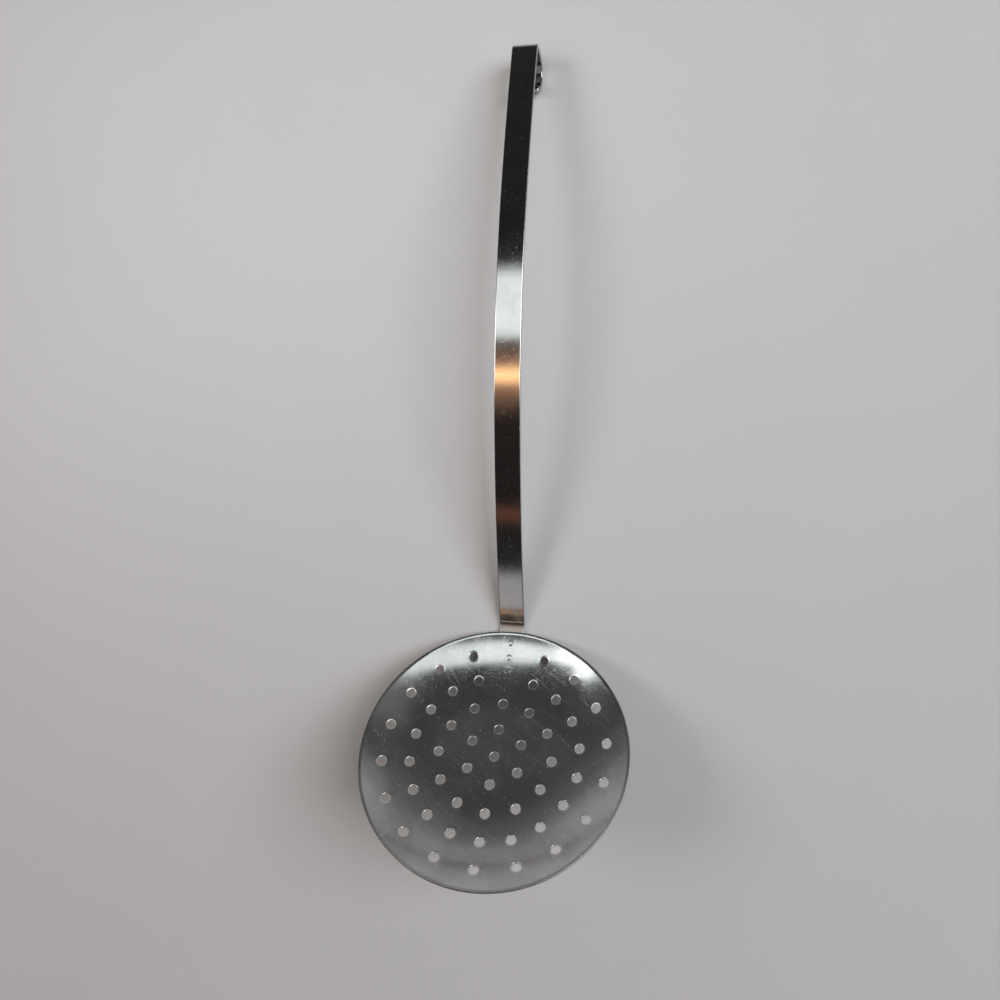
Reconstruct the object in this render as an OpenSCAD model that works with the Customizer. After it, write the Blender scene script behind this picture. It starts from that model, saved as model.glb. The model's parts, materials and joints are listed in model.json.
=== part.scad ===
// Perforated skimmer ladle: a shallow pressed bowl, spot welded to a strap handle with a hook at its end.
// It lies open side up on a table, on the bend under the bowl's rim and on the hook.
// +Z is up and +Y runs from the bowl to the hook. The origin is on the table, under the middle of the box.

/* [Bowl] */
// Diameter of the bowl at its rim
bowl_d = 120; // [118:1:140]
// Thickness of the bowl's sheet
sheet_t = 0.8; // [0.6:0.1:1.2]
// Radius of the flat base inside the bowl
base_r = 21.5; // [15:0.5:30]
// Radius of the arc that rises from the base to the rim, on the inner face
flank_r = 92; // [80:1:120]
// Angle between the rim and the table as the ladle lies
bowl_tilt = 41; // [36:0.5:46]

/* [Perforation] */
// Diameter of each hole
hole_d = 4.4; // [3:0.1:5]
// Radius of each ring of holes round the centre hole
ring_r = [13, 25.75, 38.1, 50.1]; // [12:0.05:51]
// Equal places on each ring
ring_n = [6, 12, 18, 18]; // [6:1:18]
// Rings from this one outwards leave out the place over the strap
first_open_ring = 2; // [2:1:3]

/* [Handle] */
// Width of the strap
strap_w = 12; // [9:0.5:15]
// Thickness of the strap
strap_t = 2; // [1.5:0.1:2.5]
// Radius from the bowl's axis to the end of the strap under the bowl
tail_r = 37; // [34:0.5:38.5]
// Inner radius of the bend under the rim
rim_bend_r = 8; // [5:0.5:12]
// Slope of the handle where it leaves the bowl, up from the table
rise = 23.5; // [22:0.5:26]
// Lengths of the three curved runs of the handle, from the bowl to the hook
run_l = [95, 105, 75]; // [70:1:110]
// How far each run turns down, in degrees
run_turn = [12, 20, 6.5]; // [6:0.5:20]

/* [Hook] */
// Outer radius of the tight bend at the handle's end
end_bend_r = 3.5; // [3:0.1:4.5]
// Slope of the hook's back, down from level
back_slope = 92; // [88:1:96]
// Inner radius of the hook's curl
hook_r = 6.8; // [5.5:0.1:7]
// Angle that the curl turns through
curl = 178; // [120:1:180]

/* [Welds] */
// Diameter of each spot weld
weld_d = 2.6; // [2:0.1:3.2]
// Distance from the rim to the first weld, along the radius
weld_first = 5.6; // [5:0.1:6]
// Distance from each weld to the next
weld_pitch = 6.1; // [5:0.1:6.5]
// Depth of each weld's dimple in the bowl
dimple = 0.2; // [0.1:0.05:0.3]

/* [Hidden] */
steel = [0.62, 0.62, 0.61];
weld_steel = [0.5, 0.49, 0.47];
rim_r = bowl_d / 2;
// Clearance between the strap and the bowl away from the welds
seat_gap = 0.05;
// How far a weld reaches into the strap
weld_bite = 0.8;
// How far the pocket for a weld is cut above the bowl's inner face
pocket_h = 2;
// How far each segment of the strap runs into the next
lap = 0.05;
// The flank's arc has its centre above the edge of the base. Heights here are measured from the rim's plane.
arc_h = sqrt(pow(flank_r, 2) - pow(rim_r - base_r, 2));
base_z = arc_h - flank_r;

// Slope of the flank at a radius from the bowl's axis, on a face whose arc has the radius r
function slope_at(radius, r = flank_r) = radius <= base_r ? 0 : asin((radius - base_r) / r);
// Height of the inner face at a radius
function face_z(radius) = arc_h - flank_r * cos(slope_at(radius));

// The strap's upper face, seen from the side, is a chain of poses [y, z, heading]. Each segment is
// [length, turn], and the chain starts under the bowl, against the outer face.
seat_r = flank_r + sheet_t + seat_gap;
rim_slope = slope_at(rim_r, seat_r);
tail_slope = slope_at(tail_r, seat_r);

function step(p, s) =
    let(r = s[1] == 0 ? 0 : s[0] * 180 / (PI * s[1]))
    s[1] == 0
        ? [p[0] + s[0] * cos(p[2]), p[1] + s[0] * sin(p[2]), p[2]]
        : [p[0] + r * (sin(p[2] + s[1]) - sin(p[2])), p[1] - r * (cos(p[2] + s[1]) - cos(p[2])), p[2] + s[1]];
function arc_len(r, turn) = PI * r * abs(turn) / 180;
// Pose after the first n segments
function pose(segs, start, n) = n == 0 ? start : step(pose(segs, start, n - 1), segs[n - 1]);

// Bowl coordinates [outwards, up] turned by the tilt, before the whole ladle is lifted to the table
function lie(p) = [
    p[0] * cos(bowl_tilt) + p[1] * sin(bowl_tilt),
    -p[0] * sin(bowl_tilt) + p[1] * cos(bowl_tilt)
];
tail_pt = lie([tail_r, arc_h - seat_r * cos(tail_slope)]);
tail_pose = [tail_pt[0], tail_pt[1], tail_slope - bowl_tilt];
seat_turn = rim_slope - tail_slope;
bend_turn = rise + bowl_tilt - rim_slope;
near_segs = [
    [arc_len(seat_r, seat_turn), seat_turn],
    [arc_len(rim_bend_r, bend_turn), bend_turn],
    [run_l[0], -run_turn[0]],
    [run_l[1], -run_turn[1]],
    [run_l[2], -run_turn[2]]
];
end_heading = rise - run_turn[0] - run_turn[1] - run_turn[2];
end_turn = -back_slope - end_heading;
// The table is level with the underside of the bend under the rim
bend_pose = pose(near_segs, tail_pose, 1);
table_z = bend_pose[1] + rim_bend_r * cos(bend_pose[2]) - rim_bend_r - strap_t;
// The back of the hook is as long as brings the curl down to the table
curl_r = hook_r + strap_t;
back_pose = step(pose(near_segs, tail_pose, 5), [arc_len(end_bend_r, end_turn), end_turn]);
back_l = max(0.5, (back_pose[1] - table_z - curl_r * (1 + cos(back_slope))) / sin(back_slope));
segments = concat(near_segs, [
    [arc_len(end_bend_r, end_turn), end_turn],
    [back_l, 0],
    [arc_len(curl_r, curl), -curl]
]);

// Middle of the box along Y
far_y = lie([-rim_r, -sheet_t / cos(slope_at(rim_r))])[0];
hook_y = back_pose[0] + end_bend_r * (1 - sin(back_slope));
mid_y = (far_y + hook_y) / 2;

module to_table() {
    translate([0, -mid_y, -table_z])
        children();
}

module in_bowl_frame() {
    to_table()
        rotate([-bowl_tilt, 0, 0])
            children();
}

// A cylinder square to the flank at a radius, in the direction of the handle turned by an angle
module on_flank(radius, angle = 0) {
    rotate([0, 0, angle])
        translate([0, radius, face_z(radius)])
            rotate([slope_at(radius), 0, 0])
                children();
}

module bowl_profile(r_face, low) {
    intersection() {
        translate([base_r, arc_h])
            circle(r = r_face, $fn = 360);
        translate([base_r, low])
            square([rim_r - base_r, -low]);
    }
}

// Half section of the pressed sheet: the flat base, and the arc up to the rim
module bowl_section() {
    translate([0, base_z - sheet_t])
        square([base_r, sheet_t]);
    difference() {
        bowl_profile(flank_r + sheet_t, base_z - 2 * sheet_t);
        translate([base_r, arc_h])
            circle(r = flank_r, $fn = 360);
    }
}

module perforation() {
    translate([0, 0, base_z])
        cylinder(d = hole_d, h = 6 * sheet_t, center = true, $fn = 48);
    for (ring = [0:3]) {
        step_angle = 360 / ring_n[ring];
        first = ring < first_open_ring ? 0 : 1;
        for (place = [first:ring_n[ring] - 1]) {
            on_flank(ring_r[ring], place * step_angle)
                cylinder(d = hole_d, h = 6 * sheet_t, center = true, $fn = 48);
        }
    }
}

function weld_r(i) = rim_r - weld_first - i * weld_pitch;

// The fused metal of one spot weld, from the dimple in the bowl down into the strap
module weld_nugget(i, top = -dimple) {
    bottom = -sheet_t - seat_gap - weld_bite;
    in_bowl_frame()
        on_flank(weld_r(i))
            translate([0, 0, bottom])
                cylinder(d = weld_d, h = top - bottom, $fn = 48);
}

module bowl() {
    color(steel)
        difference() {
            in_bowl_frame()
                rotate_extrude($fn = 180)
                    bowl_section();
            in_bowl_frame()
                perforation();
            for (i = [0:2]) {
                weld_nugget(i, pocket_h);
            }
        }
}

// One segment of the strap seen from the side, below and to the right of the heading. It runs a
// little way into the next one, so that the chain is one solid.
module strap_segment(p, s, overlap) {
    if (s[1] == 0) {
        translate([p[0], p[1]])
            rotate(p[2])
                translate([0, -strap_t])
                    square([s[0] + overlap, strap_t]);
    } else {
        r = s[0] * 180 / (PI * s[1]);
        from = p[2] - sign(s[1]) * 90;
        turn = s[1] * (1 + overlap / s[0]);
        far = 1.2 * (abs(r) + strap_t);
        wedges = ceil(abs(turn) / 45);
        translate([p[0] - r * sin(p[2]), p[1] + r * cos(p[2])])
            intersection() {
                difference() {
                    circle(r = max(abs(r), abs(r + strap_t)), $fn = 360);
                    circle(r = min(abs(r), abs(r + strap_t)), $fn = 360);
                }
                polygon(concat([[0, 0]], [
                    for (k = [0:wedges])
                        far * [cos(from + turn * k / wedges), sin(from + turn * k / wedges)]
                ]));
            }
    }
}

module handle_strap() {
    color(steel)
        difference() {
            to_table()
                rotate([90, 0, 90])
                    linear_extrude(height = strap_w, center = true)
                        for (i = [0:len(segments) - 1]) {
                            overlap = i < len(segments) - 1 ? lap : 0;
                            strap_segment(pose(segments, tail_pose, i), segments[i], overlap);
                        }
            for (i = [0:2]) {
                weld_nugget(i, pocket_h);
            }
        }
}

module spot_weld_outer() {
    color(weld_steel)
        weld_nugget(0);
}

module spot_weld_middle() {
    color(weld_steel)
        weld_nugget(1);
}

module spot_weld_inner() {
    color(weld_steel)
        weld_nugget(2);
}

bowl();
handle_strap();
spot_weld_outer();
spot_weld_middle();
spot_weld_inner();
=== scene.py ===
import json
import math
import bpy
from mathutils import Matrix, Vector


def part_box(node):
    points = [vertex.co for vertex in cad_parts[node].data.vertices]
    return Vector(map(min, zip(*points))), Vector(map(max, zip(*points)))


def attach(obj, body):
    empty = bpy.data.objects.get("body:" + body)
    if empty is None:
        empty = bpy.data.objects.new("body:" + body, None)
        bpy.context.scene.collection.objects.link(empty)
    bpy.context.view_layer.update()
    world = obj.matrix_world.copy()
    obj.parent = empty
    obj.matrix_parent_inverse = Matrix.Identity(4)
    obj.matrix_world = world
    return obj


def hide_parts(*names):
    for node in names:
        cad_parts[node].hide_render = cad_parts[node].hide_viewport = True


bl_info = {
    "name": "Perforated Skimmer Ladle",
    "version": (1, 0, 0),
    "blender": (4, 5, 0),
    "location": "3D View > Sidebar > Ladle",
    "description": "Builds the steel of a perforated skimmer ladle around its frame, with its stage",
    "category": "Object",
}

import bpy
import numpy as np
from bpy.props import (
    FloatProperty,
    FloatVectorProperty,
    IntProperty,
    IntVectorProperty,
    PointerProperty,
)
from mathutils import Matrix, Vector
from mathutils.geometry import delaunay_2d_cdt

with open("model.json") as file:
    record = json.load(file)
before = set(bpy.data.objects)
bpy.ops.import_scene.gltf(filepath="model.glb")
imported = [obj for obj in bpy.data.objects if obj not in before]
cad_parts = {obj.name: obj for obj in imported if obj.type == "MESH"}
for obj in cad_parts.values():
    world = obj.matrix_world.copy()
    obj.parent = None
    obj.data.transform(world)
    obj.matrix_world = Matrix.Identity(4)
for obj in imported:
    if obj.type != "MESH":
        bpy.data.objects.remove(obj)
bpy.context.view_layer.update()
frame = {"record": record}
MOUNTS = {m["name"]: m for m in frame["record"]["mounts"]}
SLOT_COLOUR = {m["slot"]: m["base_color"][:3] for m in frame["record"]["materials"]}
BODY = "root"
MM = 0.001
RINGS = 4
WELDS = 3


def length(name, description, default):
    return FloatProperty(name=name, description=description, default=default, unit="LENGTH")


def angle(name, description, degrees):
    return FloatProperty(
        name=name, description=description, default=math.radians(degrees), subtype="ANGLE"
    )


def colour(name, description, default):
    return FloatVectorProperty(
        name=name, description=description, default=default, subtype="COLOR", min=0, max=1
    )


class LadleBowl(bpy.types.PropertyGroup):
    rim_radius: length("Rim Radius", "Radius of the whole bowl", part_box("bowl")[1].x)
    sheet: length("Sheet", "Thickness of the pressed sheet", 0.8 * MM)
    base_radius: length("Base Radius", "Radius of the flat base", 21.5 * MM)
    flank_radius: length("Flank Radius", "Radius of the arc from the base to the rim", 92 * MM)
    lip: length("Lip", "How far the rounded edge stands out from the sheet", 0.25 * MM)
    hole_radius: length("Hole Radius", "Radius of each drainage hole", 2.06 * MM)
    shoulder: length("Shoulder", "Radius of the rounding at each hole's edge", 0.2 * MM)
    ring_radius: FloatVectorProperty(
        name="Ring Radii",
        description="Radius of each ring of holes",
        default=[r * MM for r in (13, 25.75, 38.1, 50.1)],
        size=RINGS,
        unit="LENGTH",
    )
    ring_count: IntVectorProperty(
        name="Ring Places",
        description="Equal places on each ring",
        default=(6, 12, 18, 18),
        size=RINGS,
    )
    open_rings: IntProperty(
        name="Full Rings",
        description="How many inner rings keep the hole over the strap",
        default=2,
    )
    grain: length("Grain", "Spacing of the mesh between the holes", 1.3 * MM)


class LadleStrap(bpy.types.PropertyGroup):
    width: length("Width", "Width of the strap", 12 * MM)
    thickness: length("Thickness", "Thickness of the strap", 2 * MM)
    edge: length("Edge", "Radius of the strap's rolled edges", 0.4 * MM)
    corner: length("Corner", "Radius of the strap's corners at both ends", 1.4 * MM)
    cut: length("Cut", "Radius of the rounding where the strap is cut off", 0.35 * MM)
    seat_gap: length("Seat Gap", "Clearance between strap and bowl", 0.05 * MM)
    tail_radius: length("Tail", "Distance from the bowl's axis to the strap's end", 37 * MM)
    rim_bend: length("Rim Bend", "Inner radius of the bend under the rim", 8 * MM)
    rise: angle("Rise", "Slope of the handle where it leaves the bowl", 23.5)
    runs: FloatVectorProperty(
        name="Runs",
        description="Lengths of the three curved runs",
        default=[r * MM for r in (95, 105, 75)],
        size=3,
        unit="LENGTH",
    )
    turns: FloatVectorProperty(
        name="Turns",
        description="How far each run turns down",
        default=[math.radians(a) for a in (12, 20, 6.5)],
        size=3,
        unit="ROTATION",
    )
    end_bend: length("End Bend", "Outer radius of the tight bend at the end", 3.5 * MM)
    back_slope: angle("Back Slope", "Slope of the hook's back, down from level", 92)
    hook_radius: length("Hook Radius", "Inner radius of the hook", MOUNTS["hook"]["dims"]["r_mm"] * MM)
    curl: angle("Curl", "Angle that the hook turns through", 178)


class LadleWelds(bpy.types.PropertyGroup):
    radius: length("Radius", "Radius of each spot weld", 1.3 * MM)
    first: length("First", "Distance from the rim to the first weld", 5.6 * MM)
    pitch: length("Pitch", "Distance from each weld to the next", 6.1 * MM)
    proud: length("Proud", "How far each spot stands out of the sheet", 0.09 * MM)


class LadleFinish(bpy.types.PropertyGroup):
    bowl: colour("Bowl", "Colour of the bowl's steel", SLOT_COLOUR["bowl_steel"])
    strap: colour("Strap", "Colour of the strap's steel", SLOT_COLOUR["strap_steel"])
    weld: colour("Weld", "Colour of the welded spots", SLOT_COLOUR["weld_steel"])
    # Also the colour of the painted highlight on each hole's rounded edge
    scratch: colour("Scratch", "Colour of fresh scratches", (0.82, 0.82, 0.81))


class LadleStage(bpy.types.PropertyGroup):
    floor: colour("Floor", "Colour of the floor", (0.53, 0.515, 0.51))
    backdrop: colour("Backdrop", "Colour of the background", (0.38, 0.375, 0.37))
    floor_radius: length("Floor Radius", "Radius of the round floor", 4.0)
    camera_place: FloatVectorProperty(
        name="Camera",
        description="Place of the camera",
        default=(0.07199, -0.02465, 0.40265),
        size=3,
    )
    camera_turn: FloatVectorProperty(
        name="Camera Turn",
        description="Rotation of the camera about X, Y and Z",
        default=[math.radians(a) for a in (-0.238, 11.305, 1.895)],
        size=3,
        unit="ROTATION",
    )
    lens: FloatProperty(name="Lens", description="Focal length on a 36 mm sensor, in mm", default=30.24)


GROUPS = {
    "ladle_bowl": LadleBowl,
    "ladle_strap": LadleStrap,
    "ladle_welds": LadleWelds,
    "ladle_finish": LadleFinish,
    "ladle_stage": LadleStage,
}


class Value:
    """A socket of a node tree, used in Python expressions that add Math nodes."""

    def __init__(self, tree, socket):
        self.tree = tree
        self.socket = socket

    def math(self, operation, *others):
        inputs = {0: self, **dict(enumerate(others, 1))}
        return self.tree.add("ShaderNodeMath", {"operation": operation}, inputs)

    def __add__(self, other):
        return self.math("ADD", other)

    def __radd__(self, other):
        return self.math("ADD", other)

    def __sub__(self, other):
        return self.math("SUBTRACT", other)

    def __rsub__(self, other):
        return self.tree.add("ShaderNodeMath", {"operation": "SUBTRACT"}, {0: other, 1: self})

    def __mul__(self, other):
        return self.math("MULTIPLY", other)

    def __rmul__(self, other):
        return self.math("MULTIPLY", other)

    def __truediv__(self, other):
        return self.math("DIVIDE", other)

    def __pow__(self, other):
        return self.math("POWER", other)


def set_stops(elements, stops):
    """Places a colour ramp's stops. A stop is a position with its grey level."""
    while len(elements) < len(stops):
        elements.new(1.0)
    for element, (at, level) in zip(elements, stops.items()):
        element.position = at
        element.color = (level, level, level, 1.0)


class Tree:
    """A node tree, with one method that adds any node and links or sets its sockets."""

    def __init__(self, nodes):
        self.nodes = nodes.nodes
        self.links = nodes.links

    def add(self, kind, settings=None, inputs=None, output=0):
        node = self.nodes.new(kind)
        for name, setting in (settings or {}).items():
            if name == "stops":
                set_stops(node.color_ramp.elements, setting)
            else:
                setattr(node, name, setting)
        for key, given in (inputs or {}).items():
            socket = node.inputs[key]
            for one in given if isinstance(given, list) else [given]:
                if isinstance(one, Value):
                    self.links.new(one.socket, socket)
                else:
                    socket.default_value = one
        return Value(self, node.outputs[output]) if node.outputs else None

    def join(self, x, y, z):
        return self.add("ShaderNodeCombineXYZ", None, {0: x, 1: y, 2: z})

    def parts(self, vector):
        first = self.add("ShaderNodeSeparateXYZ", None, {0: vector})
        return [Value(self, s) for s in first.socket.node.outputs]

    def vector_math(self, operation, *vectors, output=0):
        settings = {"operation": operation}
        return self.add("ShaderNodeVectorMath", settings, dict(enumerate(vectors)), output)

    def ramp(self, value, low, high, to_low=0.0, to_high=1.0, kind="LINEAR"):
        """Takes a value from one range to another and stops it at both ends."""
        inputs = {"Value": value, 1: low, 2: high, 3: to_low, 4: to_high}
        return self.add("ShaderNodeMapRange", {"interpolation_type": kind}, inputs)

    def fade(self, value, low, high, to_low=0.0, to_high=1.0):
        """Smooth step of a value between two limits."""
        return self.ramp(value, low, high, to_low, to_high, "SMOOTHSTEP")

    def window(self, value, low, high, soft):
        """1 between two limits of a value and 0 beyond them, with soft edges."""
        return self.fade(value, low - soft, low + soft) * self.fade(value, high + soft, high - soft)

    def noise(self, vector, scale=1.0, detail=2.0, roughness=0.5, distortion=0.0):
        inputs = {
            "Vector": vector,
            "Scale": scale,
            "Detail": detail,
            "Roughness": roughness,
            "Distortion": distortion,
        }
        return self.add("ShaderNodeTexNoise", None, inputs)

    def mix_colour(self, factor, first, second, blend="MIX"):
        settings = {"data_type": "RGBA", "blend_type": blend}
        inputs = {"Factor": factor, 6: first, 7: second}
        return self.add("ShaderNodeMix", settings, inputs, output=2)


def clear_tree(owner):
    """Empties the node tree of a material, a light or the world."""
    owner.use_nodes = True
    owner.node_tree.nodes.clear()
    return Tree(owner.node_tree)


def rgba(three, share=1.0):
    """A share of a colour, which for light can be above 1."""
    return (*(c * share for c in three), 1.0)


def paint(three, share=1.0):
    """A share of a colour, kept within what a surface can give back."""
    return (*(min(1.0, c * share) for c in three), 1.0)


def flank_height(b):
    """Height of the flank's centre above the rim's plane."""
    return math.sqrt(b.flank_radius**2 - (b.rim_radius - b.base_radius) ** 2)


def face_z(b, radius):
    reach = max(0.0, radius - b.base_radius)
    return flank_height(b) - math.sqrt(b.flank_radius**2 - reach**2)


def face_slope(b, radius):
    return math.asin(max(0.0, radius - b.base_radius) / b.flank_radius)


def face_normal(b, x, y):
    radius = math.hypot(x, y)
    slope = face_slope(b, radius)
    if slope == 0:
        return Vector((0, 0, 1))
    return Vector((-math.sin(slope) * x / radius, -math.sin(slope) * y / radius, math.cos(slope)))


def on_face(b, radius, turn):
    """Frame of a place on the inner face: Y runs outwards along the face and Z is the face's normal."""
    place = Vector((-radius * math.sin(turn), radius * math.cos(turn), face_z(b, radius)))
    tilt = Matrix.Rotation(face_slope(b, radius), 4, "X")
    return Matrix.Translation(place) @ Matrix.Rotation(turn, 4, "Z") @ tilt


def bowl_to_frame(b):
    """From the bowl's own axes, with the origin in the rim's plane, to the frame.

    The mount under the flat base gives the direction and the place.
    """
    base = MOUNTS["bowl_base"]
    up = -Vector(base["axis"])
    across = Vector((1, 0, 0))
    centre = Vector(base["pos_m"])
    centre.x = 0
    centre += up * (b.sheet - face_z(b, 0))
    placed = Matrix((across, up.cross(across), up)).transposed().to_4x4()
    placed.translation = centre
    return placed


def hole_places(b):
    places = [on_face(b, 0, 0)]
    for ring, (radius, count) in enumerate(zip(b.ring_radius, b.ring_count)):
        first = 0 if ring < b.open_rings else 1
        places += [on_face(b, radius, math.tau * i / count) for i in range(first, count)]
    return places


def weld_radius(b, w, i):
    return b.rim_radius - w.first - i * w.pitch


def weld_places(b, w):
    return [on_face(b, weld_radius(b, w, i), 0) for i in range(WELDS)]


COLLAR_SIDES = 32
COLLAR_STEPS = 10
RIM_SIDES = 400
LIP_STEPS = 6

# Rings of vertices in the sheet round each opening: how far out, how many sides, and the share of one
# side by which the ring is turned
SHEET_RINGS = ((0.45 * MM, 28, 0.5), (1.05 * MM, 20, 0.0))

# Share of the mesh's spacing that the other vertices keep from the outermost of those rings
KEEP_OFF = 0.6

# Where a collar's straight wall begins and ends, and where the painted shade of the wall takes over
# from the painted highlight of the edge, as shares of the way down the collar's mesh
WALL = (0.3, 0.7)
WALL_SHADE_FADE = (0.22, 0.38)

# Points of the bowl's plan closer than this are one point
SAME_POINT = 1e-9

# Points closer than this are merged, in the bowl and in the strap
BOWL_SEAM = 0.004 * MM
STRAP_SEAM = 0.0005 * MM

# Edges that turn by more than this angle stay sharp
SHARP = math.radians(50)


def circle_points(place, radius, sides, phase=0.0):
    turns = [math.tau * (i + phase) / sides for i in range(sides)]
    return [place @ Vector((radius * math.cos(t), radius * math.sin(t), 0)) for t in turns]


def plan_of_sheet(b, openings):
    """Vertices and normals of the inner face, and the edges that bound its openings."""
    verts, edges, normals = [], [], []
    keep_off = []
    for place, radius in openings:
        start = len(verts)
        verts += circle_points(place, radius, COLLAR_SIDES)
        normals += [place.col[2].to_3d()] * COLLAR_SIDES
        edges += [(start + i, start + (i + 1) % COLLAR_SIDES) for i in range(COLLAR_SIDES)]
        for grow, sides, phase in SHEET_RINGS:
            for p in circle_points(place, radius + grow, sides, phase):
                verts.append(Vector((p.x, p.y, face_z(b, math.hypot(p.x, p.y)))))
                normals.append(face_normal(b, p.x, p.y))
        centre = place.translation
        keep_off.append((centre.x, centre.y, radius + SHEET_RINGS[-1][0] + KEEP_OFF * b.grain))
    edge_radius = sheet_edge(b)
    rings = round(edge_radius / b.grain)
    avoid = np.array(keep_off)
    for k in range(1, rings + 1):
        radius = edge_radius * k / rings
        sides = RIM_SIDES if k == rings else max(6, round(math.tau * radius / b.grain))
        for i in range(sides):
            turn = math.tau * (i + 0.5 * (k % 2)) / sides
            x, y = radius * math.cos(turn), radius * math.sin(turn)
            near = np.hypot(avoid[:, 0] - x, avoid[:, 1] - y) < avoid[:, 2]
            if k < rings and near.any():
                continue
            verts.append(Vector((x, y, face_z(b, radius))))
            normals.append(face_normal(b, x, y))
    return verts, normals, edges


def sheet_edge(b):
    """Radius where the inner face ends and the rounded lip begins, so that the lip ends at the rim."""
    slope = face_slope(b, b.rim_radius)
    inward = b.sheet / 2 * math.sin(slope)
    return b.rim_radius - math.hypot(b.lip * math.cos(slope), inward) - inward


def bowl_sheet_mesh(b, openings):
    """Both faces of the sheet and its rounded lip, open at the holes."""
    verts, normals, edges = plan_of_sheet(b, openings)
    flat = [Vector((v.x, v.y)) for v in verts]
    _, _, faces, origin, _, _ = delaunay_2d_cdt(flat, edges, [], 0, SAME_POINT)
    back = {i: olds[0] for i, olds in enumerate(origin)}
    ring_of = [-1] * len(verts)
    for n, edge in enumerate(edges):
        ring_of[edge[0]] = n // COLLAR_SIDES
    inner = []
    for face in faces:
        own = [back[i] for i in face]
        rings = {ring_of[i] for i in own}
        # A face with all its corners on one opening's edge would fill that opening
        if len(rings) == 1 and -1 not in rings:
            continue
        inner.append(own)
    count = len(verts)
    outer_verts = [v - n * b.sheet for v, n in zip(verts, normals)]
    outer = [[i + count for i in reversed(face)] for face in inner]
    rim = range(count - RIM_SIDES, count)
    lip_verts, lip_faces = [], []
    slope = face_slope(b, sheet_edge(b))
    for step in range(1, LIP_STEPS):
        turn = math.pi * step / LIP_STEPS
        out, down = b.lip * math.sin(turn), b.sheet / 2 * (1 - math.cos(turn))
        for i in rim:
            v, n = verts[i], normals[i]
            radial = Vector((v.x, v.y, 0)).normalized()
            along = radial * math.cos(slope) + Vector((0, 0, math.sin(slope)))
            lip_verts.append(v + along * out - n * down)
    rows = [list(rim)]
    for k in range(LIP_STEPS - 1):
        rows.append([2 * count + k * RIM_SIDES + i for i in range(RIM_SIDES)])
    rows.append([i + count for i in rim])
    for upper, lower in zip(rows, rows[1:]):
        for i in range(RIM_SIDES):
            j = (i + 1) % RIM_SIDES
            lip_faces.append([upper[i], lower[i], lower[j], upper[j]])
    mesh = bpy.data.meshes.new("bowl_sheet")
    mesh.from_pydata(verts + outer_verts + lip_verts, [], inner + outer + lip_faces)
    mesh.validate()
    return mesh


def new_piece(name, mesh):
    piece = bpy.data.objects.new(name, mesh)
    bpy.context.scene.collection.objects.link(piece)
    return piece


def geometry_tree(name, given):
    """Starts a Geometry Nodes tree with an input for each given setting.

    Returns the node group, its Tree and the values of its inputs.
    """
    group = bpy.data.node_groups.new(name, "GeometryNodeTree")
    group.interface.new_socket("Geometry", in_out="INPUT", socket_type="NodeSocketGeometry")
    for label, setting in given.items():
        kind = "NodeSocketInt" if isinstance(setting, int) else "NodeSocketFloat"
        group.interface.new_socket(label, in_out="INPUT", socket_type=kind)
    group.interface.new_socket("Geometry", in_out="OUTPUT", socket_type="NodeSocketGeometry")
    tree = Tree(group)
    source = tree.add("NodeGroupInput").socket.node
    return group, tree, {s.name: Value(tree, s) for s in source.outputs if s.name}


def run_tree(piece, group, given):
    """Adds the tree to a piece, sets its inputs by identifier and keeps the evaluated mesh.

    The mesh that the piece began with has no steel, and the empty slot that comes of it is removed.
    """
    modifier = piece.modifiers.new(group.name, "NODES")
    modifier.node_group = group
    named = {s.name: s.identifier for s in group.interface.items_tree if s.in_out == "INPUT"}
    for label, setting in given.items():
        modifier[named[label]] = setting
    piece.update_tag()
    graph = bpy.context.evaluated_depsgraph_get()
    mesh = bpy.data.meshes.new_from_object(
        piece.evaluated_get(graph), preserve_all_data_layers=True, depsgraph=graph
    )
    piece.modifiers.remove(modifier)
    if mesh.materials[0] is None:
        mesh.materials.pop(index=0)
    piece.data = mesh


def store(tree, geometry, name, vector):
    """Keeps a vector on each point under a name."""
    settings = {"data_type": "FLOAT_VECTOR", "domain": "POINT"}
    inputs = {"Geometry": geometry, "Name": name, "Value": vector}
    return tree.add("GeometryNodeStoreNamedAttribute", settings, inputs)


def collar(tree, radius, sheet, shoulder, worked):
    """The wall of one opening, rounded into both faces of the sheet.

    The attribute "punched" tells the steel where the opening's edge and its wall are, for a painted
    highlight on the edge and painted shade in the wall. The share worked is 0 for a pocket, which gets
    no such mark.
    """
    settings = {"fill_type": "NONE"}
    inputs = {"Vertices": COLLAR_SIDES, "Side Segments": COLLAR_STEPS, "Radius": 1.0, "Depth": 1.0}
    tube = tree.add("GeometryNodeMeshCylinder", settings, inputs)
    x, y, z = tree.parts(tree.add("GeometryNodeInputPosition"))
    down = 0.5 - z
    top_turn = tree.ramp(down, 0.0, WALL[0], 0.0, math.pi / 2)
    wall = tree.ramp(down, *WALL)
    low_turn = tree.ramp(down, WALL[1], 1.0, 0.0, math.pi / 2)
    spread = shoulder * (1 - top_turn.math("SINE")) + shoulder * (1 - low_turn.math("COSINE"))
    deep = shoulder * (1 - top_turn.math("COSINE")) + shoulder * low_turn.math("SINE")
    deep = deep + wall * (sheet - 2 * shoulder)
    across = radius + spread
    moved = tree.join(x * across, y * across, deep * -1)
    walled = tree.fade(down, *WALL_SHADE_FADE)
    tube = store(tree, tube, "punched", tree.join(worked * (1 - walled), worked * walled, 0.0))
    wall_mesh = tree.add("GeometryNodeSetPosition", None, {"Geometry": tube, "Position": moved})
    return tree.add("GeometryNodeFlipFaces", None, {"Mesh": wall_mesh})


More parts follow.
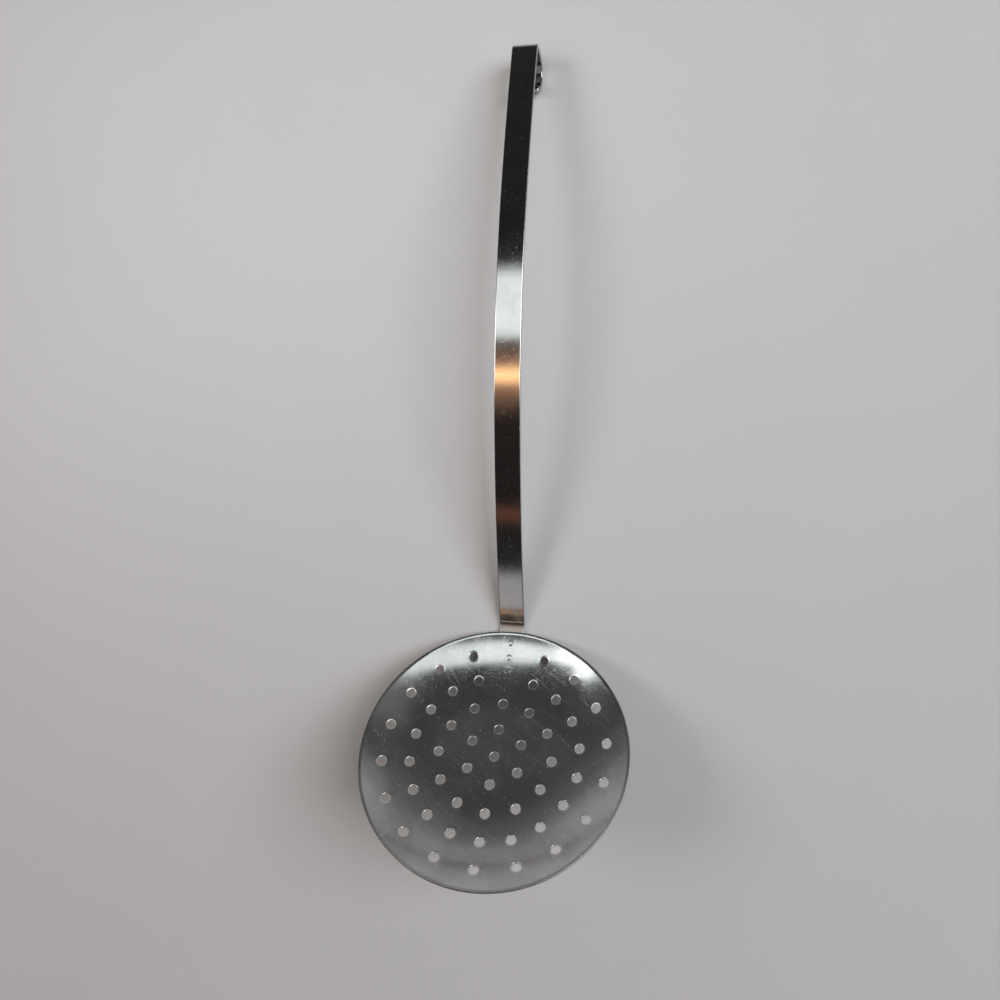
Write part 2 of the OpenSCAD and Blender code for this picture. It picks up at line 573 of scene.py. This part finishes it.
def ring_of_collars(tree, values, shape, radius, count, first):
    """One collar at each equal place of a ring on the bowl's inner face, from the place first on."""
    reach = (radius - values["Base Radius"]).math("MAXIMUM", 0.0)
    flank = values["Flank Radius"]
    centre = (flank * flank - (values["Rim Radius"] - values["Base Radius"]) ** 2).math("SQRT")
    height = centre - (flank * flank - reach * reach).math("SQRT")
    slope = (reach / flank).math("ARCSINE")
    index = tree.add("GeometryNodeInputIndex")
    turn = index * math.tau / count
    place = tree.join(radius * turn.math("SINE") * -1, radius * turn.math("COSINE"), height)
    points = tree.add("GeometryNodePoints", None, {"Count": count, "Position": place})
    compared = {"data_type": "INT", "operation": "GREATER_EQUAL"}
    chosen = tree.add("FunctionNodeCompare", compared, {2: index, 3: first})
    inputs = {
        "Points": points,
        "Selection": chosen,
        "Instance": shape,
        "Rotation": tree.join(slope, 0.0, turn),
    }
    return tree.add("GeometryNodeInstanceOnPoints", None, inputs)


def finish_tree(tree, shapes, steel, seam):
    """Joins the shapes, makes them real, merges their seams and gives them their steel."""
    joined = tree.add("GeometryNodeJoinGeometry", None, {"Geometry": shapes})
    real = tree.add("GeometryNodeRealizeInstances", None, {"Geometry": joined})
    merged = tree.add("GeometryNodeMergeByDistance", None, {"Geometry": real, "Distance": seam})
    smooth = tree.add("GeometryNodeSetShadeSmooth", None, {"Geometry": merged})
    turned = tree.add("GeometryNodeInputMeshEdgeAngle")
    compared = {"data_type": "FLOAT", "operation": "GREATER_THAN"}
    sharp = tree.add("FunctionNodeCompare", compared, {0: turned, 1: SHARP})
    inputs = {"Geometry": smooth, "Selection": sharp, "Shade Smooth": False}
    creased = tree.add("GeometryNodeSetShadeSmooth", {"domain": "EDGE"}, inputs)
    painted = tree.add("GeometryNodeSetMaterial", None, {"Geometry": creased, "Material": steel})
    tree.add("NodeGroupOutput", None, {"Geometry": painted})


def perforation_tree(b, w, steel):
    """Adds the punched collars and the weld pockets to the open sheet."""
    given = {
        "Rim Radius": b.rim_radius,
        "Base Radius": b.base_radius,
        "Flank Radius": b.flank_radius,
        "Sheet": b.sheet,
        "Hole Radius": b.hole_radius,
        "Shoulder": b.shoulder,
        "Weld Radius": w.radius,
    }
    for i in range(RINGS):
        given[f"Ring {i + 1} Radius"] = b.ring_radius[i]
        given[f"Ring {i + 1} Count"] = b.ring_count[i]
        given[f"Ring {i + 1} First"] = 0 if i < b.open_rings else 1
    for i in range(WELDS):
        given[f"Weld {i + 1} Place"] = weld_radius(b, w, i)
    group, tree, values = geometry_tree("Punched Holes", given)
    hole = collar(tree, values["Hole Radius"], values["Sheet"], values["Shoulder"], 1.0)
    shapes = [values["Geometry"], ring_of_collars(tree, values, hole, 0.0, 1, 0)]
    for i in range(RINGS):
        ring = [values[f"Ring {i + 1} {part}"] for part in ("Radius", "Count", "First")]
        shapes.append(ring_of_collars(tree, values, hole, *ring))
    pocket = collar(tree, values["Weld Radius"], values["Sheet"], 0.0, 0.0)
    for i in range(WELDS):
        shapes.append(ring_of_collars(tree, values, pocket, values[f"Weld {i + 1} Place"], 1, 0))
    finish_tree(tree, shapes, steel, BOWL_SEAM)
    return group, given


def strap_chain(b, s):
    """Start (y, z, heading) and segments (length, turn) of the strap's upper face, from tail to tip."""
    placed = bowl_to_frame(b)
    tilt = math.atan2(placed.col[2].y, placed.col[2].z)
    seat = b.flank_radius + b.sheet + s.seat_gap
    rim_slope = math.asin((b.rim_radius - b.base_radius) / seat)
    tail_slope = math.asin((s.tail_radius - b.base_radius) / seat)
    tail_height = flank_height(b) - seat * math.cos(tail_slope)
    start = placed @ Vector((0, s.tail_radius, tail_height))
    bend = s.rise + tilt - rim_slope
    chain = [(seat * (rim_slope - tail_slope), rim_slope - tail_slope), (s.rim_bend * bend, bend)]
    chain += [(run, -turn) for run, turn in zip(s.runs, s.turns)]
    start = (start.y, start.z, tail_slope - tilt)
    place = start
    for segment in chain:
        place = follow(place, segment, 1.0)
    end_turn = -s.back_slope - place[2]
    chain.append((s.end_bend * abs(end_turn), end_turn))
    place = follow(place, chain[-1], 1.0)
    curl_radius = s.hook_radius + s.thickness
    back = (place[1] - curl_radius * (1 + math.cos(s.back_slope))) / math.sin(s.back_slope)
    chain += [(back, 0.0), (curl_radius * s.curl, -s.curl)]
    return start, chain


# Steps in each rounding at the strap's ends, and the longest and the most turned step between them
CORNER_STEPS = 8
CUT_STEPS = 4
PATH_STEP = 2 * MM
PATH_TURN = math.radians(3)

# Marks on the path closer than this count as one
PATH_GAP = 0.01 * MM

# Steps in each rolled edge and spacing of points round the strip's outline
EDGE_STEPS = 7
OUTLINE_STEP = 0.16 * MM


def strap_path(b, s):
    """Middle line of the strap as points in the frame, from the tail to the hook's tip."""
    start, chain = strap_chain(b, s)
    total = sum(segment[0] for segment in chain)
    fine = set()
    for radius, steps in ((s.corner, CORNER_STEPS), (s.cut, CUT_STEPS)):
        fine |= {radius * (1 - math.cos(math.pi / 2 * k / steps)) for k in range(steps + 1)}
    marks = fine | {total - d for d in fine}
    at = 0.0
    for span, turn in chain:
        steps = max(1, math.ceil(span / PATH_STEP), math.ceil(abs(turn) / PATH_TURN))
        marks |= {at + span * k / steps for k in range(steps)}
        at += span
    ordered = sorted(marks)
    kept = [ordered[0]] + [m for a, m in zip(ordered, ordered[1:]) if m - a > PATH_GAP]
    points = []
    for mark in kept:
        y, z, heading = pose_at(start, chain, mark)
        half = s.thickness / 2
        points.append(Vector((0, y + half * math.sin(heading), z - half * math.cos(heading))))
    return points


def follow(place, segment, part):
    """Place (y, z, heading) after a part of one segment (length, turn)."""
    y, z, heading = place
    span, turn = segment[0] * part, segment[1] * part
    if segment[1] == 0:
        return y + span * math.cos(heading), z + span * math.sin(heading), heading
    radius = segment[0] / segment[1]
    ahead = heading + turn
    y += radius * (math.sin(ahead) - math.sin(heading))
    z -= radius * (math.cos(ahead) - math.cos(heading))
    return y, z, ahead


def pose_at(place, chain, distance):
    for segment in chain:
        if distance <= segment[0]:
            return follow(place, segment, distance / segment[0])
        place = follow(place, segment, 1.0)
        distance -= segment[0]
    return place


def end_round(from_end, half, radius):
    """Part of the half size that is left at a distance from a rounded end."""
    inward = (radius - from_end.math("MINIMUM", radius)).math("MAXIMUM", 0.0)
    return (half - radius + (radius * radius - inward * inward).math("SQRT")) / half


def strap_tree(s, steel):
    """Sweeps a strip with rolled edges along the path and rounds its corners and cut ends."""
    given = {
        "Width": s.width,
        "Thickness": s.thickness,
        "Edge": s.edge,
        "Corner": s.corner,
        "Cut": s.cut,
    }
    group, tree, values = geometry_tree("Rolled Strip", given)
    path = tree.add("GeometryNodeMeshToCurve", None, {"Mesh": values["Geometry"]})
    inputs = {"Width": values["Width"], "Height": values["Thickness"]}
    outline = tree.add("GeometryNodeCurvePrimitiveQuadrilateral", None, inputs)
    inputs = {"Curve": outline, "Count": EDGE_STEPS, "Radius": values["Edge"]}
    outline = tree.add("GeometryNodeFilletCurve", {"mode": "POLY"}, inputs)
    inputs = {"Curve": outline, "Length": OUTLINE_STEP}
    outline = tree.add("GeometryNodeResampleCurve", {"mode": "LENGTH"}, inputs)
    spline = tree.add("GeometryNodeSplineParameter", output=1)
    total = tree.add("GeometryNodeSplineLength")
    from_end = spline.math("MINIMUM", total - spline)
    ends = tree.join(spline, from_end, 0.0)
    centre = tree.add("GeometryNodeInputPosition")
    path = store(tree, path, "strip_ends", ends)
    path = store(tree, path, "strip_centre", centre)
    inputs = {"Curve": path, "Profile Curve": outline, "Fill Caps": True}
    swept = tree.add("GeometryNodeCurveToMesh", None, inputs)
    read = {"data_type": "FLOAT_VECTOR"}
    ends = tree.add("GeometryNodeInputNamedAttribute", read, {"Name": "strip_ends"})
    middle = tree.add("GeometryNodeInputNamedAttribute", read, {"Name": "strip_centre"})
    along, from_end, _ = tree.parts(ends)
    place = tree.add("GeometryNodeInputPosition")
    offset = tree.vector_math("SUBTRACT", place, middle)
    narrow = end_round(from_end, values["Width"] / 2, values["Corner"])
    thin = end_round(from_end, values["Thickness"] / 2, values["Cut"])
    scaled = tree.vector_math("MULTIPLY", offset, tree.join(narrow, thin, thin))
    moved = tree.vector_math("ADD", middle, scaled)
    shaped = tree.add("GeometryNodeSetPosition", None, {"Geometry": swept, "Position": moved})
    across, _, _ = tree.parts(scaled)
    marked = store(tree, shaped, "strip_place", tree.join(across, along, 0.0))
    finish_tree(tree, [marked], steel, STRAP_SEAM)
    return group, given


def path_mesh(points):
    mesh = bpy.data.meshes.new("strap_path")
    mesh.from_pydata(points, [(i, i + 1) for i in range(len(points) - 1)], [])
    return mesh


WELD_SIDES = 40

# The bead's profile: share of its radius, and height as a share of how proud it stands
BEAD = ((0.0, 1.0), (0.3, 0.99), (0.55, 0.95), (0.72, 0.86), (0.84, 0.62), (0.93, 0.3), (1.0, -0.1))

# Spread of the height of the bead's inner rings, as a share of how proud it stands
BEAD_ROUGH = 0.03
ROUGH_RINGS = 4

# How far a bead sits below its profile, and how far its plug reaches beyond the sheet
BEAD_SINK = 0.001 * MM
PLUG_REACH = 0.1 * MM


def weld_mesh(w, sheet, place, seed, proud):
    """Fused metal of one spot: a flat-topped bead over the pocket and a plug down to the strap."""
    rng = np.random.default_rng(seed)
    profile = [(share * w.radius, level * proud - BEAD_SINK) for share, level in BEAD]
    profile += [(w.radius, -sheet / 2), (w.radius, -sheet - PLUG_REACH)]
    verts = [Vector((0, 0, profile[0][1]))]
    for n, (radius, z) in enumerate(profile[1:]):
        for i in range(WELD_SIDES):
            turn = math.tau * i / WELD_SIDES
            rough = rng.normal(0, BEAD_ROUGH * proud) if n < ROUGH_RINGS else 0.0
            verts.append(Vector((radius * math.cos(turn), radius * math.sin(turn), z + rough)))
    verts.append(Vector((0, 0, profile[-1][1])))
    rows = len(profile) - 1
    faces = []
    for i in range(WELD_SIDES):
        j = (i + 1) % WELD_SIDES
        faces.append([0, 1 + i, 1 + j])
        for k in range(rows - 1):
            a, c = 1 + k * WELD_SIDES, 1 + (k + 1) * WELD_SIDES
            faces.append([a + i, c + i, c + j, a + j])
        last = 1 + (rows - 1) * WELD_SIDES
        faces.append([last + i, len(verts) - 1, last + j])
    mesh = bpy.data.meshes.new("weld")
    mesh.from_pydata([place @ v for v in verts], [], faces)
    mesh.shade_smooth()
    return mesh


# Heights in the materials are in micrometres
HEIGHT_UNIT = 0.001 * MM


def new_material(name):
    material = bpy.data.materials.new(name)
    return material, clear_tree(material)


def end_material(material, tree, base, roughness, height, metallic=1.0):
    bump = tree.add("ShaderNodeBump", None, {"Distance": HEIGHT_UNIT, "Height": height})
    inputs = {"Base Color": base, "Roughness": roughness, "Metallic": metallic, "Normal": bump}
    surface = tree.add("ShaderNodeBsdfPrincipled", None, inputs)
    tree.add("ShaderNodeOutputMaterial", None, {"Surface": surface})
    return material


# Hairlines in each steel: direction in degrees, the noise's scale along them, and the noise's limit,
# which leaves fewer the higher it is
BOWL_LINES = ((52, 20, 0.77), (60, 30, 0.77), (44, 28.4, 0.78), (36, 27.6, 0.77), (-58, 18.2, 0.8))
STRAP_LINES = ((52, 110, 0.81), (-58, 108.4, 0.81), (80, 136, 0.82))
SCUFF_LINES = ((42, 130, 0.62),)

# How much the noise rises from a hairline's edge to its middle
LINE_EDGE = 0.05

# The scuff over the third weld: radius where it has gone and where it is whole
SCUFF_FADE = (2.4 * MM, 1.5 * MM)

# Painted shade on the bowl's steel towards -Y, darkening the floor that its far flank reflects: where
# it begins and is whole, and how dark it gets
PAINTED_SHADE_FADE = (-18 * MM, -44 * MM)
PAINTED_SHADE = 0.27

# The darker line on the sheet's edge: where it begins and is whole, out from the lip's start
EDGE_FADE = (0.02 * MM, 0.12 * MM)

# The rougher steel in the bend under the rim: where it begins and is whole, on from the bend's end
BENT_FADE = (0.5 * MM, -2.5 * MM)


def hairlines(tree, place, across, lines):
    """Sparse thin scratches, the strongest of all the lines. The noise's scale across them is given."""
    found = []
    for degrees, along, limit in lines:
        turn = math.radians(degrees)
        inputs = {
            "Vector": place,
            "Location": (turn, -turn, 0),
            "Rotation": (0, 0, turn),
            "Scale": (1 / across, 1 / along, 1 / along),
        }
        turned = tree.add("ShaderNodeMapping", {"vector_type": "TEXTURE"}, inputs)
        noise = tree.noise(turned, 1.0, 0.0, 0.5, 0.3)
        found.append(tree.fade(noise, limit, limit + LINE_EDGE))
    marks = found[0]
    for more in found[1:]:
        marks = marks.math("MAXIMUM", more)
    return marks


def bowl_steel(b, w, f):
    """Pressed stainless sheet, brushed along the handle's direction, with hairlines and soft dents."""
    material, tree = new_material("Brushed Bowl Steel")
    placed = bowl_to_frame(b)
    inputs = {
        "Vector": tree.add("ShaderNodeTexCoord", output=3),
        "Location": placed.translation,
        "Rotation": placed.to_euler(),
    }
    place = tree.add("ShaderNodeMapping", {"vector_type": "TEXTURE"}, inputs)
    x, y, z = tree.parts(place)
    fine = tree.noise(tree.join(x * 2600, y * 70, z * 300), 1.0, 3.0, 0.6)
    coarse = tree.noise(tree.join(x * 900, y * 25, z * 100), 1.0, 2.0, 0.5)
    grain = tree.noise(place, 1800.0, 1.0, 0.5)
    cloud = tree.noise(place, 45.0, 3.0, 0.55)
    dent = tree.noise(place, 38.0, 1.0, 0.4)
    spot = weld_places(b, w)[2].translation
    away = tree.vector_math("DISTANCE", place, tuple(spot), output=1)
    scuff = hairlines(tree, place, 2400, SCUFF_LINES) * tree.fade(away, *SCUFF_FADE)
    marks = hairlines(tree, place, 3600, BOWL_LINES).math("MAXIMUM", scuff)
    radius = (x * x + y * y).math("SQRT")
    edge = tree.fade(radius, *[sheet_edge(b) + out for out in EDGE_FADE])
    blotch = tree.fade(tree.noise(place, 55.0, 2.0, 0.4, 0.6), 0.46, 0.56)
    tone = blotch * 0.7 + tree.fade(coarse, 0.35, 0.65) * 0.3
    base = tree.mix_colour(tone, paint(f.bowl, 0.9), paint(f.bowl, 1.03))
    # Painted shade: the bowl's steel darkens towards -Y
    base = tree.mix_colour(tree.fade(y, *PAINTED_SHADE_FADE) * PAINTED_SHADE, base, rgba((0, 0, 0)))
    specks = tree.fade(tree.noise(place, 1500.0, 0.0, 0.5), 0.68, 0.82)
    base = tree.mix_colour(marks * 0.5, base, rgba(f.scratch))
    base = tree.mix_colour(specks * 0.35, base, rgba(f.scratch))
    read = {"attribute_name": "punched"}
    ring, wall, _ = tree.parts(tree.add("ShaderNodeAttribute", read, output=1))
    base = tree.mix_colour(edge, base, paint(f.bowl, 0.45))
    # Each hole's rounded edge is lighter: fresh-cut steel with a painted highlight
    base = tree.mix_colour(ring, base, rgba(f.scratch))
    # Painted shade in each hole's wall, which is also rougher
    base = tree.mix_colour(wall, base, paint(f.bowl, 0.4))
    worn = tree.fade(grain, 0.45, 0.75) * 0.08 + cloud * 0.06 + marks * 0.1 + specks * 0.1
    roughness = 0.07 + worn + blotch * 0.02 + edge * 0.25 + ring * 0.2 + wall * 0.3
    height = fine * 1.5 + coarse * 0.7 + grain * 3.6 + dent * 160.0 + marks * 1.3 + specks * 0.5
    return end_material(material, tree, base, roughness, height, 0.96)


def strap_steel(b, s, f):
    """Rolled stainless strip, smoother than the bowl, speckled with wear and with duller slit edges."""
    material, tree = new_material("Rolled Strap Steel")
    read = {"attribute_name": "strip_place"}
    place = tree.add("ShaderNodeAttribute", read, output=1)
    x, along, _ = tree.parts(place)
    fine = tree.noise(tree.join(x * 2200, along * 60, 0.0), 1.0, 3.0, 0.6)
    grain = tree.noise(place, 1800.0, 1.0, 0.5)
    cloud = tree.noise(place, 90.0, 3.0, 0.55)
    specks = tree.fade(tree.noise(place, 1300.0, 0.0, 0.5), 0.74, 0.8)
    marks = hairlines(tree, place, 3000, STRAP_LINES).math("MAXIMUM", specks)
    side = tree.fade(x.math("ABSOLUTE"), s.width / 2 - s.edge, s.width / 2 - 0.4 * s.edge)
    base = tree.mix_colour(tree.fade(cloud, 0.35, 0.65), paint(f.strap, 0.76), paint(f.strap, 0.84))
    base = tree.mix_colour(marks * 0.3, base, rgba(f.scratch))
    base = tree.mix_colour(side, base, paint(f.strap, 0.7))
    worn = tree.fade(grain, 0.5, 0.8) * tree.fade(cloud, 0.3, 0.7, 0.5, 1.0)
    _, chain = strap_chain(b, s)
    bend_end = chain[0][0] + chain[1][0]
    bent = tree.fade(along, *[bend_end + on for on in BENT_FADE])
    roughness = 0.07 + worn * 0.16 + cloud * 0.04 + marks * 0.15 + side * 0.15 + bent * 0.35
    height = fine * 1.2 + grain * 4.0 + cloud * 6.0 + marks * 1.0
    return end_material(material, tree, base, roughness, height)


def weld_steel(f):
    """Duller steel of the fused spots, rough from the electrode."""
    material, tree = new_material("Spot Weld Steel")
    place = tree.add("ShaderNodeTexCoord", output=3)
    grains = tree.noise(place, 2600.0, 3.0, 0.6)
    base = tree.mix_colour(grains, paint(f.weld, 1.1), paint(f.weld, 1.45))
    return end_material(material, tree, base, 0.12 + grains * 0.12, grains * 5.0)


def floor_paint(st):
    """Plain pale floor with a barely visible tone."""
    material, tree = new_material("Pale Floor")
    place = tree.add("ShaderNodeTexCoord", output=3)
    tone = tree.noise(place, 9.0, 4.0, 0.6)
    base = tree.mix_colour(tone, paint(st.floor, 0.97), paint(st.floor, 1.03))
    grain = tree.noise(place, 700.0, 3.0, 0.6)
    return end_material(material, tree, base, 0.9 + grain * 0.05, grain * 60.0, 0.0)


def settle(piece, node):
    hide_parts(node)
    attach(piece, BODY)


class LADLE_OT_bowl(bpy.types.Operator):
    """Press the perforated bowl"""

    bl_idname = "ladle.bowl"
    bl_label = "Perforated Bowl"

    def execute(self, context):
        b, w = context.scene.ladle_bowl, context.scene.ladle_welds
        openings = [(place, b.hole_radius + b.shoulder) for place in hole_places(b)]
        openings += [(place, w.radius) for place in weld_places(b, w)]
        piece = new_piece("bowl_sheet", bowl_sheet_mesh(b, openings))
        steel = bowl_steel(b, w, context.scene.ladle_finish)
        run_tree(piece, *perforation_tree(b, w, steel))
        piece.data.transform(bowl_to_frame(b))
        settle(piece, "bowl")
        return {"FINISHED"}


class LADLE_OT_strap(bpy.types.Operator):
    """Bend the strap with its handle and hook"""

    bl_idname = "ladle.strap"
    bl_label = "Strap Handle"

    def execute(self, context):
        scene = context.scene
        s = scene.ladle_strap
        points = strap_path(scene.ladle_bowl, s)
        piece = new_piece("handle_strip", path_mesh(points))
        steel = strap_steel(scene.ladle_bowl, s, scene.ladle_finish)
        run_tree(piece, *strap_tree(s, steel))
        settle(piece, "handle_strap")
        return {"FINISHED"}


class LADLE_OT_welds(bpy.types.Operator):
    """Fuse the three spot welds"""

    bl_idname = "ladle.welds"
    bl_label = "Spot Welds"

    def execute(self, context):
        scene = context.scene
        b, w = scene.ladle_bowl, scene.ladle_welds
        steel = weld_steel(scene.ladle_finish)
        bowl = bpy.data.materials["Brushed Bowl Steel"]
        finishes = {"outer": (steel, 1.0), "middle": (steel, 1.0), "inner": (bowl, 0.0)}
        placed = bowl_to_frame(b)
        for seed, (part, (finish, share)) in enumerate(finishes.items()):
            place = placed @ weld_places(b, w)[seed]
            mesh = weld_mesh(w, b.sheet, place, seed, w.proud * share)
            mesh.materials.append(finish)
            settle(new_piece(f"weld_{part}", mesh), f"spot_weld_{part}")
        return {"FINISHED"}


# Each softbox: its middle, the place that it faces, its width across and its depth in metres, its
# radiance, its tint, and how its light fades: in, out and slanted over its width, in and out over its
# depth, and how far the last of these moves outwards between two places on the width
SOFTBOXES = {
    "overhead_softbox": (
        (0.041, 0.1326, 0.3301),
        (0.041, 0.1834, 0.2439),
        (0.338, 0.21),
        1.25,
        (0.93, 1.0, 1.0),
        (
            (0.0, 0.02),
            (1.0, 0.93),
            (0.45, 0.15, 1.0, 1.18),
            (0.03, 0.13),
            (0.93, 0.65),
            (0.0, 1.0, 0.0),
        ),
    ),
    "side_softbox": (
        (-0.2125, 0.1283, 0.3275),
        (-0.2125, 0.1791, 0.2413),
        (0.175, 0.3),
        2.4,
        (0.95, 1.0, 1.0),
        (
            (0.0, 0.1),
            (1.0, 0.97),
            (0.0, 1.0, 1.0, 1.0),
            (0.0, 0.01),
            (0.54, 0.46),
            (0.6, 0.37, 0.36),
        ),
    ),
    "left_softbox": (
        (-1.7, 0.1, 1.9),
        (0, 0, 0),
        (1.0, 0.8),
        6.2,
        (1.0, 0.94, 0.9),
        None,
    ),
    "right_softbox": (
        (1.6, 0.4, 1.9),
        (0, 0, 0),
        (1.7, 1.4),
        7.0,
        (0.9, 0.95, 1.0),
        None,
    ),
}

# Brightness of the room at the sine of each elevation
ROOM = {0.0: 0.32, 0.1: 0.3, 0.25: 0.13, 0.4: 0.045, 0.55: 0.028, 0.75: 0.024, 0.9: 0.022}

# Share of that brightness which is left towards -Y, and the Y of the directions where it changes
SHADE = 0.8
SHADE_FADE = (-0.6, -0.1)

# A direction is divided by its Z or its Y, but never by less than this
LEVEL = 0.05

# Sine of the elevation below which metal begins to see the backdrop
HORIZON = 0.12

# Soft cards high in the room. Each has its lowest and highest slope towards -Y and towards +X, the
# softness of its edges, its colour and its brightness
HIGH_CARDS = {
    "pale near card": (-1.6, -0.75, 0.35, 1.1, 0.2, (1.0, 1.0, 0.97), 0.12),
    "pale high card": (-0.33, 0.0, -0.6, 0.3, 0.08, (1.0, 0.84, 0.74), 0.12),
    "golden card": (0.075, 0.125, -0.40, 0.25, 0.03, (1.0, 0.58, 0.27), 3.2),
    "golden glow": (0.02, 0.2, -0.45, 0.3, 0.09, (1.0, 0.5, 0.3), 0.42),
    "brown high card": (0.2, 0.62, -0.5, 0.1, 0.1, (1.0, 0.2, 0.1), 0.006),
    "brown card": (0.66, 0.72, -0.45, 0.05, 0.03, (1.0, 0.36, 0.2), 0.21),
    "pale far card": (1.04, 2.2, -0.6, 0.2, 0.05, (1.0, 0.95, 0.98), 0.54),
}

# Soft cards low in the room, towards +Y. Each has its lowest and highest slope towards +X, the lowest
# and highest sine of its elevation, the softness of its edges, its colour and its brightness
LOW_CARDS = {
    "left low card": (-0.85, -0.42, 0.04, 0.24, 0.03, (1.0, 0.99, 0.9), 0.06),
    "middle low card": (-0.30, 0.02, -0.05, 0.13, 0.03, (1.0, 0.97, 0.88), 0.10),
    "right low card": (0.20, 0.9, 0.05, 0.3, 0.04, (0.97, 1.0, 0.98), 0.1),
}


def softbox(name, middle, target, size, radiance, tint, fades):
    """A rectangular light that the camera doesn't see, even or faded towards its sides."""
    data = bpy.data.lights.new(name, "AREA")
    data.shape = "RECTANGLE"
    data.size, data.size_y = size
    data.energy = math.pi * size[0] * size[1] * radiance
    data.color = tint
    if fades:
        tree = clear_tree(data)
        u, v, _ = tree.parts(tree.add("ShaderNodeNewGeometry", output=5))
        left, right, slant, near, far, (first, last, moved) = fades
        shape = tree.fade(u, *left) * tree.fade(u, *right) * tree.fade(u, *slant)
        lifted = v - tree.fade(u, first, last, 0.0, moved)
        shape = shape * tree.fade(v, *near) * tree.fade(lifted, *far)
        light = tree.add("ShaderNodeEmission", None, {"Strength": shape})
        tree.add("ShaderNodeOutputLight", None, {"Surface": light})
    lamp = bpy.data.objects.new(name, data)
    bpy.context.scene.collection.objects.link(lamp)
    lamp.location = middle
    back = (Vector(middle) - Vector(target)).normalized()
    side = Vector((0, 1, 0)).cross(back).normalized()
    lamp.rotation_euler = Matrix((side, back.cross(side), back)).transposed().to_euler()
    lamp.visible_camera = False


def light_room(st):
    """A dim room with soft cards. The camera, and metal near the horizon, sees a plain backdrop."""
    world = bpy.data.worlds.new("Dim Room")
    tree = clear_tree(world)
    x, y, z = tree.parts(tree.add("ShaderNodeTexCoord"))
    shade = tree.fade(y, *SHADE_FADE, SHADE, 1.0)
    room = tree.add("ShaderNodeValToRGB", {"stops": ROOM}, {0: z})
    room = tree.vector_math("MULTIPLY", room, tree.join(shade, shade, shade))
    up = z.math("MAXIMUM", LEVEL)
    along, across = y * -1 / up, x / up
    for low, high, left, right, soft, tint, level in HIGH_CARDS.values():
        shape = tree.window(along, low, high, soft) * tree.window(across, left, right, soft)
        room = tree.mix_colour(shape, room, rgba(tint, level), "ADD")
    across = x / y.math("MAXIMUM", LEVEL)
    for left, right, low, high, soft, tint, level in LOW_CARDS.values():
        shape = tree.window(across, left, right, soft) * tree.window(z, low, high, soft)
        room = tree.mix_colour(shape, room, rgba(tint, level), "ADD")
    camera = tree.add("ShaderNodeLightPath")
    glossy = tree.add("ShaderNodeLightPath", output=3)
    plain = camera.math("MAXIMUM", glossy * tree.fade(z, HORIZON, 0.0))
    room = tree.mix_colour(plain, room, rgba(st.backdrop))
    seen = tree.add("ShaderNodeBackground", None, {"Color": room})
    tree.add("ShaderNodeOutputWorld", None, {"Surface": seen})
    bpy.context.scene.world = world


FLOOR_SIDES = 96

# Distance from the camera where its view begins, in metres
NEAREST_SEEN = 0.01


class LADLE_OT_stage(bpy.types.Operator):
    """Set the floor, the lights and the camera"""

    bl_idname = "ladle.stage"
    bl_label = "Stage"

    def execute(self, context):
        st = context.scene.ladle_stage
        ring = circle_points(Matrix.Identity(4), st.floor_radius, FLOOR_SIDES)
        mesh = bpy.data.meshes.new("floor")
        mesh.from_pydata(ring, [], [range(FLOOR_SIDES)])
        mesh.materials.append(floor_paint(st))
        new_piece("floor", mesh)
        for name, facts in SOFTBOXES.items():
            softbox(name, *facts)
        light_room(st)
        camera = bpy.data.objects.new("camera", bpy.data.cameras.new("camera"))
        context.scene.collection.objects.link(camera)
        camera.location = st.camera_place
        camera.rotation_euler = st.camera_turn
        camera.data.lens = st.lens
        camera.data.clip_start = NEAREST_SEEN
        context.scene.camera = camera
        context.scene.view_settings.view_transform = "Standard"
        return {"FINISHED"}


OPERATORS = {
    "ladle_bowl": LADLE_OT_bowl,
    "ladle_strap": LADLE_OT_strap,
    "ladle_welds": LADLE_OT_welds,
    "ladle_stage": LADLE_OT_stage,
}


class LADLE_PT_sidebar(bpy.types.Panel):
    """Each group of settings, with the operator that builds from it"""

    bl_idname = "LADLE_PT_sidebar"
    bl_label = "Skimmer Ladle"
    bl_space_type = "VIEW_3D"
    bl_region_type = "UI"
    bl_category = "Ladle"

    def draw(self, context):
        column = self.layout.column()
        for name in GROUPS:
            box = column.box()
            group = getattr(context.scene, name)
            for key in group.__annotations__:
                box.prop(group, key)
            if name in OPERATORS:
                box.operator(OPERATORS[name].bl_idname)


CLASSES = (*GROUPS.values(), *OPERATORS.values(), LADLE_PT_sidebar)


def register():
    for cls in CLASSES:
        bpy.utils.register_class(cls)
    for name, cls in GROUPS.items():
        setattr(bpy.types.Scene, name, PointerProperty(type=cls))


def unregister():
    for name in GROUPS:
        delattr(bpy.types.Scene, name)
    for cls in reversed(CLASSES):
        bpy.utils.unregister_class(cls)


def main():
    register()
    bpy.ops.ladle.bowl()
    bpy.ops.ladle.strap()
    bpy.ops.ladle.welds()
    bpy.ops.ladle.stage()


if __name__ == "__main__":
    main()
